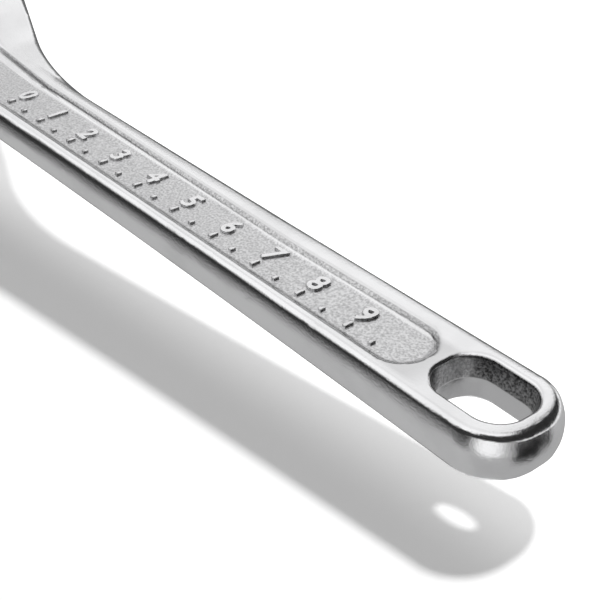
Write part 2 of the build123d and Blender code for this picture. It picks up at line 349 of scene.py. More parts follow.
@dataclass(frozen=True)
class HandlingMarks:
    """Smudges and hair scratches from handling."""

    scale: float = 60.0
    cloud_look: Pair = (4.0, 0.6)
    hair_look: Pair = (2.0, 0.5)
    hair_turn: float = 31.0
    hair_stretch: Triple = (90.0, 4200.0, 4200.0)
    smudge_range: Pair = (0.42, 0.68)
    scratch_range: Pair = (0.66, 0.74)

    def build(self) -> bpy.types.NodeTree:
        """Writes the group.

        Returns:
            A group with the outputs Smudge and Scratch.
        """
        nodes = GroupWriter("handling_marks", {"Scale": self.scale}, ("Smudge", "Scratch"))
        vector = nodes.entry["Vector"]
        cloud = nodes.noise(vector, nodes.entry["Scale"], self.cloud_look)
        hair = nodes.noise(nodes.stretch(vector, self.hair_stretch, self.hair_turn), 1.0, self.hair_look)
        nodes.feed(nodes.leave["Smudge"], nodes.ramp(cloud, self.smudge_range))
        nodes.feed(nodes.leave["Scratch"], nodes.ramp(hair, self.scratch_range))
        return nodes.tree


@dataclass(frozen=True)
class SurfaceEffects:
    """The effects that the finishes share, each a node group."""

    grain: bpy.types.NodeTree
    handling: bpy.types.NodeTree


# Finishes


def new_material(name: str) -> tuple[Finish, NodeWriter]:
    """Starts a material.

    Args:
        name: Its name.

    Returns:
        The material and the writer of its nodes.
    """
    material = bpy.data.materials.new(name)
    material.use_nodes = True
    return material, NodeWriter(material.node_tree)


@dataclass(frozen=True)
class Metal:
    """The plain numbers of one metal; its grain's height is in metres."""

    name: str
    tone: Triple
    roughness: float
    smudge_rise: float
    grain_scale: float
    grain_height: float
    swell: float = 0.4
    smudge_tones: Pair = (1.0, 0.94)

    def shade(self, factor: float) -> Quad:
        """The metal's colour scaled in brightness, with full alpha."""
        return (*(part * factor for part in self.tone), 1.0)

    def mottle(self, nodes: NodeWriter, mask: Socket, factors: Pair) -> Socket:
        """The metal's colour between two brightnesses, by a mask."""
        return nodes.tint(mask, self.shade(factors[0]), self.shade(factors[1]))

    def start(self, effects: SurfaceEffects) -> "MetalNodes":
        """Starts the material with its grain and handling marks.

        Args:
            effects: The shared node groups.

        Returns:
            What a finish goes on from.
        """
        material, nodes = new_material(self.name)
        coords = nodes.add("TexCoord").outputs["Object"]
        grain = nodes.add("Group", node_tree=effects.grain)
        handling = nodes.add("Group", node_tree=effects.handling)
        for group in (grain, handling):
            nodes.feed(group.inputs["Vector"], coords)
        grain.inputs["Scale"].default_value = self.grain_scale
        grain.inputs["Swell"].default_value = self.swell
        shader = nodes.add("BsdfPrincipled")
        shader.inputs["Metallic"].default_value = 1.0
        nodes.end("OutputMaterial", shader.outputs["BSDF"])
        return MetalNodes(self, material, nodes, coords, grain.outputs, handling.outputs, shader.inputs)


@dataclass(frozen=True)
class MetalNodes:
    """A started metal: its material, the writer of its nodes, and their sockets."""

    metal: Metal
    material: Finish
    nodes: NodeWriter
    coords: Socket
    grain: bpy.types.bpy_prop_collection
    handling: bpy.types.bpy_prop_collection
    shader: bpy.types.bpy_prop_collection

    def plain_colour(self) -> Socket:
        """The metal's colour with its smudges."""
        return self.metal.mottle(self.nodes, self.handling["Smudge"], self.metal.smudge_tones)

    def plain_roughness(self) -> Socket:
        """The metal's roughness, higher on its smudges."""
        plain = self.metal.roughness
        return self.nodes.between(self.handling["Smudge"], plain, plain + self.metal.smudge_rise)

    def along_track(self) -> Socket:
        """Adds the place along the jaw's track.

        Returns:
            The place in metres.
        """
        dot = self.nodes.add("VectorMath", operation="DOT_PRODUCT")
        self.nodes.feed(dot.inputs[0], self.coords)
        dot.inputs[1].default_value = TRACK
        return dot.outputs["Value"]

    def finish(self, colour: Socket, roughness: Socket, height: Socket) -> Finish:
        """Feeds the shader.

        Args:
            colour: The base colour.
            roughness: The roughness.
            height: The height of the bump, in heights of the metal's grain.

        Returns:
            The finished material.
        """
        normal = self.nodes.bump(height, self.metal.grain_height)
        for name, value in (("Base Color", colour), ("Roughness", roughness), ("Normal", normal)):
            self.nodes.feed(self.shader[name], value)
        return self.material


@dataclass(frozen=True)
class HandlePlace:
    """Where a point of the handle lies, in metres: along, across, up, and below the nearer broad face."""

    x: Socket
    y: Socket
    z: Socket
    depth: Socket

    @classmethod
    def find(cls, nodes: NodeWriter) -> "HandlePlace":
        """Adds the nodes that find the place.

        Args:
            nodes: The material's writer.

        Returns:
            The place's sockets.
        """
        x, y, z = nodes.object_place()
        face = nodes.math("MULTIPLY_ADD", x, TAPER_SLOPE, half_thickness(0.0) * MM)
        level = nodes.math("ABSOLUTE", nodes.math("SUBTRACT", z, MID_HEIGHT * MM))
        return cls(x, y, z, nodes.math("SUBTRACT", face, level))


@dataclass(frozen=True)
class PlatedForging:
    """Satin chrome over the forging, with a coarser skin in the panels and the hang hole.

    Places are in millimetres: four of them bound a mask that rises and falls, two a mask that does one.
    Tones are shares of the metal's own brightness, at the pits and at the peaks of its grain. The tones of
    the panels' walls, the land and the hang hole are painted shade, and the glare tones a painted highlight.
    """

    metal: Metal = Metal("plated_forging", (0.93, 0.93, 0.94), 0.17, 0.04, 2300.0, 0.00003)
    scratch_rise: float = 0.05
    panel_roughness: float = 0.3
    panel_grain: float = 1.1
    panel_tones: Pair = (0.54, 0.92)
    panel_sunk: Pair = (0.8, 1.15)
    panel_x: Quad = (35.0, 37.0, 195.2, 196.0)
    panel_near: Pair = (-9.0, -8.6)
    panel_far: Pair = (2.35, 2.85)
    panel_far_slope: float = 0.0041
    flare_reach: float = 72.0
    flare_length: float = 35.0
    flare_rise: float = 2.8
    wall_sunk: Quad = (0.1, 0.25, 0.6, 0.9)
    wall_y: Quad = (1.2, 1.8, 7.0, 7.4)
    # The next three give the painted shade of the panels' far walls, darker past the turn.
    wall_shade_tones: Pair = (0.42, 0.8)
    wall_turn: Pair = (172.0, 190.0)
    wall_end_shade_tones: Pair = (0.34, 0.64)
    # The next three bound and tone the painted shade of the panels' near walls.
    near_sunk: Quad = (0.3, 0.5, 1.15, PANEL_DEPTH)
    near_y: Quad = (-9.0, -8.6, -5.2, -4.8)
    near_shade_tones: Pair = (0.4, 0.62)
    # The next three bound and tone the painted shade of the land between the panels and the hang hole.
    land_x: Quad = (172.0, 192.0, 195.5, 201.0)
    land_y: Quad = (-8.6, -7.0, 2.6, 4.4)
    land_shade_tone: float = 0.76
    hole_half: Pair = (8.8, 6.6)
    hole_edge: float = 0.3
    hole_sunk: Pair = (0.15, 0.45)
    hole_seam: Pair = (7.1, 7.4)
    hole_grain: float = 1.6
    # Painted shade of the hang hole's pitted upper walls; the glare places and tones give a painted
    # highlight at its end nearest the panels.
    hole_shade_tones: Pair = (0.06, 0.42)
    glare_x: Pair = (198.6, 200.4)
    glare_y: Pair = (-3.0, -0.8)
    glare_tones: Pair = (0.55, 1.0)
    trimmed_tone: float = 0.85

    def build(self, effects: SurfaceEffects) -> Finish:
        """Writes the material.

        Args:
            effects: The shared node groups.

        Returns:
            The finished material.
        """
        made = self.metal.start(effects)
        nodes = made.nodes
        place = HandlePlace.find(nodes)
        panel = self.panel_mask(nodes, place)
        wall = self.wall_mask(nodes, place)
        hole = self.hole_mask(nodes, place)
        cast = nodes.rise(place.z, self.hole_seam)
        tone = made.grain["Tone"]
        # Painted shade: the land between the panels and the hang hole is darkened.
        land = self.land_shade_mask(nodes, place)
        colour = nodes.tint(land, made.plain_colour(), self.metal.shade(self.land_shade_tone))
        # Painted shade on the panels' far walls.
        colour = nodes.tint(wall, colour, self.wall_shade_colour(made, place))
        colour = nodes.tint(panel, colour, self.metal.mottle(nodes, tone, self.panel_tones))
        # Painted shade on the panels' near walls.
        near = self.near_shade_mask(nodes, place)
        colour = nodes.tint(near, colour, self.metal.mottle(nodes, tone, self.near_shade_tones))
        # Painted shade in the hang hole, with a painted highlight at its end nearest the panels.
        colour = nodes.tint(hole, colour, self.hole_colour(made, place, cast))
        scratch = made.handling["Scratch"]
        smooth = nodes.math("MULTIPLY_ADD", scratch, self.scratch_rise, made.plain_roughness())
        roughness = nodes.between(nodes.math("MAXIMUM", panel, hole), smooth, self.panel_roughness)
        coarse = nodes.math("MULTIPLY_ADD", nodes.math("MAXIMUM", panel, wall), self.panel_grain, 1.0)
        coarse = nodes.math("MULTIPLY_ADD", nodes.product(hole, cast), self.hole_grain, coarse)
        return made.finish(colour, roughness, nodes.product(made.grain["Height"], coarse))

    def wall_shade_colour(self, made: MetalNodes, place: HandlePlace) -> Socket:
        """The colour of the panels' far walls: painted shade that darkens them, more so towards the handle's
        end.

        Args:
            made: The started metal.
            place: Where the point lies.

        Returns:
            The colour socket.
        """
        nodes = made.nodes
        tone = made.grain["Tone"]
        bright = self.metal.mottle(nodes, tone, self.wall_shade_tones)
        darker = self.metal.mottle(nodes, tone, self.wall_end_shade_tones)
        return nodes.tint(nodes.rise(place.x, self.wall_turn), bright, darker)

    def hole_colour(self, made: MetalNodes, place: HandlePlace, cast: Socket) -> Socket:
        """The colour of the hang hole's walls: a plain tone on the trimmed lower half, and on the pitted
        upper half painted shade with a painted highlight at the end nearest the panels.

        Args:
            made: The started metal.
            place: Where the point lies.
            cast: A mask that is 1 in the upper half.

        Returns:
            The colour socket.
        """
        nodes = made.nodes
        tone = made.grain["Tone"]
        # Painted shade on the pitted upper walls, and a painted highlight at their end nearest the panels.
        dark = self.metal.mottle(nodes, tone, self.hole_shade_tones)
        bright = self.metal.mottle(nodes, tone, self.glare_tones)
        glare = nodes.product(nodes.fall(place.x, self.glare_x), nodes.rise(place.y, self.glare_y))
        return nodes.tint(cast, self.metal.shade(self.trimmed_tone), nodes.tint(glare, dark, bright))

    def panel_mask(self, nodes: NodeWriter, place: HandlePlace) -> Socket:
        """A mask that is 1 on the panels' floors, whose far side turns outwards at the neck.

        Args:
            nodes: The material's writer.
            place: Where the point lies.

        Returns:
            The mask socket.
        """
        off = nodes.math("MULTIPLY_ADD", place.x, -self.panel_far_slope, place.y)
        slope = -1 / (self.flare_length * MM)
        flare = nodes.math("MULTIPLY_ADD", place.x, slope, self.flare_reach / self.flare_length, clamp=True)
        off = nodes.math("MULTIPLY_ADD", nodes.product(flare, flare), -self.flare_rise * MM, off)
        return nodes.product(
            nodes.rise(place.depth, self.panel_sunk),
            nodes.window(place.x, self.panel_x),
            nodes.rise(place.y, self.panel_near),
            nodes.fall(off, self.panel_far),
        )

    def wall_mask(self, nodes: NodeWriter, place: HandlePlace) -> Socket:
        """A mask that is 1 on the upper part of the panels' far walls.

        Args:
            nodes: The material's writer.
            place: Where the point lies.

        Returns:
            The mask socket.
        """
        return nodes.product(
            nodes.window(place.depth, self.wall_sunk),
            nodes.window(place.y, self.wall_y),
            nodes.fall(place.x, self.panel_x[2:]),
        )

    def near_shade_mask(self, nodes: NodeWriter, place: HandlePlace) -> Socket:
        """A mask that is 1 on the panels' near walls.

        Args:
            nodes: The material's writer.
            place: Where the point lies.

        Returns:
            The mask socket.
        """
        return nodes.product(
            nodes.window(place.depth, self.near_sunk),
            nodes.window(place.y, self.near_y),
            nodes.window(place.x, self.panel_x),
        )

    def land_shade_mask(self, nodes: NodeWriter, place: HandlePlace) -> Socket:
        """A mask that is 1 between the panels and the hang hole, where painted shade darkens the plate."""
        return nodes.product(nodes.window(place.x, self.land_x), nodes.window(place.y, self.land_y))

    def hole_mask(self, nodes: NodeWriter, place: HandlePlace) -> Socket:
        """A mask that is 1 on the walls of the hang hole.

        Args:
            nodes: The material's writer.
            place: Where the point lies.

        Returns:
            The mask socket.
        """
        offs = (nodes.math("SUBTRACT", place.x, HOLE_REACH * MM), place.y)
        sides = [
            nodes.fall(nodes.math("ABSOLUTE", off), (half - self.hole_edge, half))
            for off, half in zip(offs, self.hole_half)
        ]
        return nodes.product(nodes.rise(place.depth, self.hole_sunk), *sides)


@dataclass(frozen=True)
class PlatedJaw:
    """Satin chrome on the sliding jaw, ground bright on its working face."""

    metal: Metal = Metal("plated_jaw", (0.85, 0.85, 0.86), 0.18, 0.05, 1500.0, 0.000006)
    face_limits: Pair = (3.05, 3.2)
    line_stretch: Triple = (60.0, 60.0, 9000.0)
    line_look: Pair = (2.0, 0.6)
    line_height: float = 3.0
    ground_tones: Pair = (0.72, 0.9)
    ground_roughness: float = 0.3

    def build(self, effects: SurfaceEffects) -> Finish:
        """Writes the material.

        Args:
            effects: The shared node groups.

        Returns:
            The finished material.
        """
        made = self.metal.start(effects)
        nodes = made.nodes
        ground = nodes.fall(made.along_track(), self.face_limits)
        lines = nodes.noise(nodes.stretch(made.coords, self.line_stretch), 1.0, self.line_look)
        bare = self.metal.mottle(nodes, lines, self.ground_tones)
        grooves = nodes.math("MULTIPLY", lines, self.line_height)
        return made.finish(
            nodes.tint(ground, made.plain_colour(), bare),
            nodes.between(ground, made.plain_roughness(), self.ground_roughness),
            nodes.between(ground, made.grain["Height"], grooves),
        )


class Turned(Enum):
    """The three bright steels, which differ in tone and in the scale of their grain."""

    WORM = Metal("worm_steel", (0.66, 0.66, 0.67), 0.27, 0.1, 1900.0, 0.000008)
    PIN = Metal("pin_steel", (0.58, 0.58, 0.59), 0.22, 0.1, 2400.0, 0.000004)
    WIRE = Metal("spring_wire", (0.5, 0.5, 0.52), 0.3, 0.1, 2600.0, 0.000004)


@dataclass(frozen=True)
class TurnedSteel:
    """Bare steel with fine turning marks along the track's direction."""

    kind: Turned
    mark_scale: float = 2600.0
    mark_look: Pair = (2.0, 0.6)
    mark_tones: Pair = (0.86, 1.08)
    mark_height: float = 0.8
    smudge_share: float = 0.5
    smudge_tone: float = 0.7

    def build(self, effects: SurfaceEffects) -> Finish:
        """Writes the material.

        Args:
            effects: The shared node groups.

        Returns:
            The finished material.
        """
        metal = self.kind.value
        made = metal.start(effects)
        nodes = made.nodes
        along = nodes.add("CombineXYZ")
        nodes.feed(along.inputs["X"], made.along_track())
        marks = nodes.noise(along.outputs["Vector"], self.mark_scale, self.mark_look)
        smudge = nodes.math("MULTIPLY", made.handling["Smudge"], self.smudge_share)
        return made.finish(
            nodes.tint(smudge, metal.mottle(nodes, marks, self.mark_tones), metal.shade(self.smudge_tone)),
            made.plain_roughness(),
            nodes.math("MULTIPLY_ADD", marks, self.mark_height, made.grain["Height"]),
        )


# Pieces


def mesh_data(name: str, shape: Shape) -> bpy.types.Mesh:
    """Makes mesh data from a bmesh.

    Args:
        name: The data's name.
        shape: The bmesh; it is freed.

    Returns:
        The mesh data.
    """
    data = bpy.data.meshes.new(name)
    shape.to_mesh(data)
    shape.free()
    return data


def add_object(name: str, data: bpy.types.ID) -> Piece:
    """Adds an object to the scene, at the origin.

    Args:
        name: The object's name.
        data: Its mesh, curve, lamp or camera.

    Returns:
        The new object.
    """
    made = bpy.data.objects.new(name, data)
    bpy.context.scene.collection.objects.link(made)
    return made


def new_piece(name: str, shape: Shape, material: Finish, body: str) -> Piece:
    """Makes a piece at the origin from a finished bmesh, and puts it on its body.

    Args:
        name: The piece's name.
        shape: Its shape, in metres; it is freed.
        material: Its finish.
        body: The body that it moves with.

    Returns:
        The new object.
    """
    piece = add_object(name, mesh_data(name, shape))
    piece.data.materials.append(material)
    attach(piece, body)
    return piece


def smooth_by_angle(piece: Piece, degrees: float) -> None:
    """Shades a piece smooth, apart from its sharp edges.

    Args:
        piece: The object.
        degrees: The angle above which an edge is sharp.
    """
    piece.data.shade_smooth()
    piece.data.set_sharp_from_angle(angle=math.radians(degrees))


def even_normals(piece: Piece) -> None:
    """Lets a smooth piece's normals follow its larger faces.

    Args:
        piece: The object.
    """
    weigh = piece.modifiers.new("even_normals", "WEIGHTED_NORMAL")
    weigh.keep_sharp = True
    weigh.weight = 100
    weigh.mode = "FACE_AREA"


@dataclass
class SolidPiece:
    """A solid of the frame, merged into one smooth mesh; its weld is in metres."""

    node: str
    body: str
    slot: str
    sharp_angle: float = 48.0
    weld: float = 0.000002

    def build(self, material: Finish) -> Piece:
        """Copies the solid's mesh, merges it and dresses it.

        Args:
            material: The finish.

        Returns:
            The piece that stands for the solid.
        """
        shape = bmesh.new()
        shape.from_mesh(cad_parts[self.node].data)
        bmesh.ops.remove_doubles(shape, verts=shape.verts, dist=self.weld)
        self.dress(shape)
        piece = new_piece(f"{self.node}_skin", shape, material, self.body)
        smooth_by_angle(piece, self.sharp_angle)
        even_normals(piece)
        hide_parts(self.node)
        return piece

    def dress(self, shape: Shape) -> None:
        """Leaves the merged shape as it is."""


@dataclass
class ForgedBody(SolidPiece):
    """The body, whose far rim and end have a soft crown and whose panels narrow along the handle's middle.

    Sizes are in millimetres and turns in degrees. The half widths are those of the handle at its neck,
    its waist and its end. The crown is lowered, and the panels' far wall is shifted.
    """

    start: Pair = (58.0, 80.0)
    neck_reach: float = 60.0
    waist_reach: float = 150.0
    neck_half: float = 8.92
    waist_half: float = 9.38
    end_half: float = 10.46
    corner: float = 9.5
    crown_drop: float = 0.55
    crown_width: float = 2.6
    crown_inset: float = 1.0
    crown_fade: float = 2.6
    crown_turn: Pair = (-60.0, 0.0)
    wall_shift: float = 1.3
    wall_y: Quad = (-2.0, 3.4, 5.6, 7.6)
    wall_x: Triple = (80.0, 155.0, 196.0)
    wall_rest: float = 0.25
    wall_depth: Pair = (-4.0, 1.0)
    hole_clear: Pair = (9.2, 10.2)
    inner_limit: float = -9.1
    near_limit: float = -6.0
    land_limit: float = -8.8
    land_reach: float = 186.0
    flat_cosine: float = 0.9995
    flat_gap: float = 0.03
    reach_step: float = 6.0
    reach_cuts: int = 23
    end_step: float = 0.6
    end_cuts: int = 46
    row_step: float = 0.35

    def dress(self, shape: Shape) -> None:
        """Cuts the handle finely enough, then lowers its far rim and end and narrows its panels.

        Args:
            shape: The merged shape, in metres.
        """
        stations = [self.start[0] + index * self.reach_step for index in range(self.reach_cuts)]
        self.cut(shape, [face for face in shape.faces if self.is_inner(face)], ALONG, stations)
        flats = [face for face in shape.faces if self.is_flat(face)]
        stations = [HANDLE_REACH - index * self.end_step for index in range(1, self.end_cuts)]
        flats = self.cut(shape, flats, ALONG, stations)
        rows = range(int(self.land_limit / self.row_step), int(self.end_half / self.row_step))
        self.cut(shape, flats, ACROSS, [index * self.row_step for index in rows])
        bmesh.ops.triangulate(shape, faces=[face for face in shape.faces if len(face.verts) > 4])
        for vert in shape.verts:
            spot = vert.co / MM
            if spot.x > self.start[0]:
                vert.co.z -= math.copysign(self.lowering(spot) * MM, spot.z - MID_HEIGHT)
                vert.co.y -= self.narrowing(spot) * MM

    @staticmethod
    def cut(shape: Shape, faces: Faces, normal: Vector, stations: list[float]) -> Faces:
        """Cuts faces along parallel planes.

        Args:
            shape: The shape that they belong to.
            faces: The faces to cut.
            normal: The planes' normal.
            stations: The planes' distances from the origin, in millimetres.

        Returns:
            The faces and their parts.
        """
        for station in stations:
            edges = dict.fromkeys(edge for face in faces for edge in face.edges)
            verts = dict.fromkeys(vert for edge in edges for vert in edge.verts)
            whole = [*verts, *edges, *faces]
            made = bmesh.ops.bisect_plane(shape, geom=whole, plane_co=normal * station * MM, plane_no=normal)
            faces = [item for item in made["geom"] if isinstance(item, bmesh.types.BMFace)]
        return faces

    def is_inner(self, face: bmesh.types.BMFace) -> bool:
        """Whether a face lies on the handle, inside its near rim."""
        middle = face.calc_center_bounds() / MM
        return middle.x > self.start[0] and middle.y > self.inner_limit

    def is_flat(self, face: bmesh.types.BMFace) -> bool:
        """Whether a face belongs to the broad flats of the far rim and the end.

        Args:
            face: The face.

        Returns:
            True if it does.
        """
        middle = face.calc_center_bounds() / MM
        level = abs(sunk_depth(middle)) < self.flat_gap and abs(face.normal.z) > self.flat_cosine
        limit = self.land_limit if middle.x > self.land_reach else self.near_limit
        return level and middle.x > self.start[0] and middle.y > limit

    def edge_distance(self, spot: Vector) -> float:
        """How far inside the broad face's outer edge a point lies, at the far side and the end.

        Args:
            spot: The point, in millimetres.

        Returns:
            The distance in millimetres.
        """
        centre = HANDLE_REACH - self.corner
        if spot.x > centre:
            off = max(abs(spot.y) - (self.end_half - self.corner), 0.0)
            return self.corner - self.crown_inset - math.hypot(spot.x - centre, off)
        first = (self.neck_reach, self.neck_half)
        last = (self.waist_reach, self.waist_half)
        if spot.x > self.waist_reach:
            first, last = last, (HANDLE_REACH, self.end_half)
        slope = (last[1] - first[1]) / (last[0] - first[0])
        return first[1] + slope * (spot.x - first[0]) - self.crown_inset - spot.y

    def lowering(self, spot: Vector) -> float:
        """How far a point of the crown is lowered.

        Args:
            spot: The point, in millimetres.

        Returns:
            The drop in millimetres.
        """
        inside = progress(self.edge_distance(spot), self.crown_width, 0.0)
        fade = progress(sunk_depth(spot), self.crown_fade, 0.0)
        begin = progress(spot.x, *self.start)
        heading = math.atan2(spot.y, max(spot.x - (HANDLE_REACH - self.corner), 0.0))
        turn = progress(math.degrees(heading), *self.crown_turn)
        return self.crown_drop * inside * inside * fade * begin * turn

    def narrowing(self, spot: Vector) -> float:
        """How far a point of the panels' far wall is moved inwards.

        Args:
            spot: The point, in millimetres.

        Returns:
            The shift in millimetres.
        """
        if spot.x > HOLE_REACH:
            return 0.0
        first, full, last, stop = self.wall_y
        across = min(progress(spot.y, first, full), progress(spot.y, stop, last))
        start, middle, end = self.wall_x
        along = progress(spot.x, start, middle) - (1.0 - self.wall_rest) * progress(spot.x, middle, end)
        clear = progress(math.hypot(spot.x - HOLE_REACH, spot.y), *self.hole_clear)
        deep = progress(sunk_depth(spot), *self.wall_depth)
        return self.wall_shift * across * along * clear * deep


@dataclass
class ThumbWorm:
    """The worm with its helical ridge, serrated along the crest for the thumb; sizes are in millimetres."""

    along: float = 6.0
    out: float = -10.2
    length: float = 18.0
    lead: float = 4.5
    radius: float = 6.7
    root_radius: float = 4.7
    crest: float = 1.1
    root: float = 2.2
    sink: float = 0.3
    bore: float = 2.06
    counterbore: float = 3.4
    counterbore_depth: float = 7.0
    edge_round: float = 0.2
    serrations: int = 40
    serration_depth: float = 0.22
    weld: float = 0.0001
    sharp_angle: float = 28.0

    @property
    def steps(self) -> int:
        """The steps of one turn: a peak and a notch for each serration."""
        return 2 * self.serrations

    def place(self) -> Matrix:
        """The turn and shift from the worm's own axis to its place in the head.

        Returns:
            The matrix, from millimetres to metres.
        """
        turn = Matrix((OUTWARD, TRACK.cross(OUTWARD), TRACK)).transposed().to_4x4()
        spot = TRACK * self.along + OUTWARD * self.out + UP * MID_HEIGHT
        return Matrix.Scale(MM, 4) @ Matrix.Translation(spot) @ turn

    def build(self, material: Finish) -> Piece:
        """Builds the ridge and the core, and places them.

        Args:
            material: The finish.

        Returns:
            The piece that stands for the worm.
        """
        shape = bmesh.new()
        self.add_ridge(shape)
        self.add_core(shape)
        bmesh.ops.transform(shape, matrix=self.place(), verts=shape.verts)
        piece = new_piece("adjusting_worm_skin", shape, material, "worm")
        smooth_by_angle(piece, self.sharp_angle)
        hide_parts("adjusting_worm")
        return piece

    def add_ridge(self, shape: Shape) -> None:
        """Screws the ridge's profile round the axis, notches its crest and trims both ends.

        Args:
            shape: The bmesh to add to, in millimetres about the worm's own axis.
        """
        ridge = bmesh.new()
        turns = math.ceil(self.length / self.lead) + 1
        slope = (self.root - self.crest) / 2 / (self.radius - self.root_radius)
        low = -turns * self.lead / 2
        half_profile = (
            (self.root_radius - self.sink, self.root / 2 + self.sink * slope),
            (self.radius - self.edge_round, self.crest / 2 + self.edge_round * slope),
            (self.radius, self.crest / 2 - self.edge_round),
        )
        profile = [(reach, -height) for reach, height in half_profile] + [*reversed(half_profile)]
        corners = [ridge.verts.new((reach, 0.0, low + height)) for reach, height in profile]
        ring = ridge.faces.new(corners)
        bmesh.ops.spin(
            ridge,
            geom=[ring, *ring.edges, *ring.verts],
            cent=(0.0, 0.0, 0.0),
            axis=UP,
            dvec=UP * (self.lead / self.steps),
            angle=math.tau * turns,
            steps=self.steps * turns,
            use_duplicate=False,
        )
        self.notch_crest(ridge)
        for side in (1.0, -1.0):
            cut = bmesh.ops.bisect_plane(
                ridge,
                geom=[*ridge.verts, *ridge.edges, *ridge.faces],
                plane_co=UP * (side * self.length / 2),
                plane_no=UP * side,
                clear_outer=True,
            )
            rim = [item for item in cut["geom_cut"] if isinstance(item, bmesh.types.BMEdge)]
            bmesh.ops.holes_fill(ridge, edges=rim)
        self.join(ridge, shape)

    def notch_crest(self, ridge: Shape) -> None:
        """Lowers every other row of the screwed ridge's crest, for the thumb's grip.

        Args:
            ridge: The ridge, in millimetres about the worm's own axis.
        """
        step = math.tau / self.steps
        for corner in ridge.verts:
            reach = math.hypot(corner.co.x, corner.co.y)
            row = round(math.atan2(corner.co.y, corner.co.x) / step)
            if reach > self.radius - 2 * self.edge_round and row % 2:
                shrink = (reach - self.serration_depth) / reach
                corner.co.x *= shrink
                corner.co.y *= shrink

    def add_core(self, shape: Shape) -> None:
        """Revolves the core with its bore and the spring's counterbore.

        Args:
            shape: The bmesh to add to, in millimetres about the worm's own axis.
        """
        core = bmesh.new()
        half = self.length / 2
        seat = half - self.counterbore_depth
        profile = (
            (self.bore, -half),
            (self.root_radius - self.edge_round, -half),
            (self.root_radius, -half + self.edge_round),
            (self.root_radius, half - self.edge_round),
            (self.root_radius - self.edge_round, half),
            (self.counterbore, half),
            (self.counterbore, seat),
            (self.bore, seat),
        )
        corners = [core.verts.new((reach, 0.0, height)) for reach, height in profile]
        edges = [core.edges.new((corners[index - 1], corners[index])) for index in range(len(corners))]
        bmesh.ops.spin(
            core,
            geom=[*corners, *edges],
            cent=(0.0, 0.0, 0.0),
            axis=UP,
            angle=math.tau,
            steps=self.steps,
            use_merge=True,
        )
        bmesh.ops.remove_doubles(core, verts=core.verts, dist=self.weld)
        self.join(core, shape)

    @staticmethod
    def join(part: Shape, whole: Shape) -> None:
        """Turns a part's faces outwards and adds it to the whole.

        Args:
            part: The closed part; it is freed.
            whole: The bmesh to add to.
        """
        bmesh.ops.recalc_face_normals(part, faces=part.faces)
        data = mesh_data("worm_share", part)
        whole.from_mesh(data)
        bpy.data.meshes.remove(data)


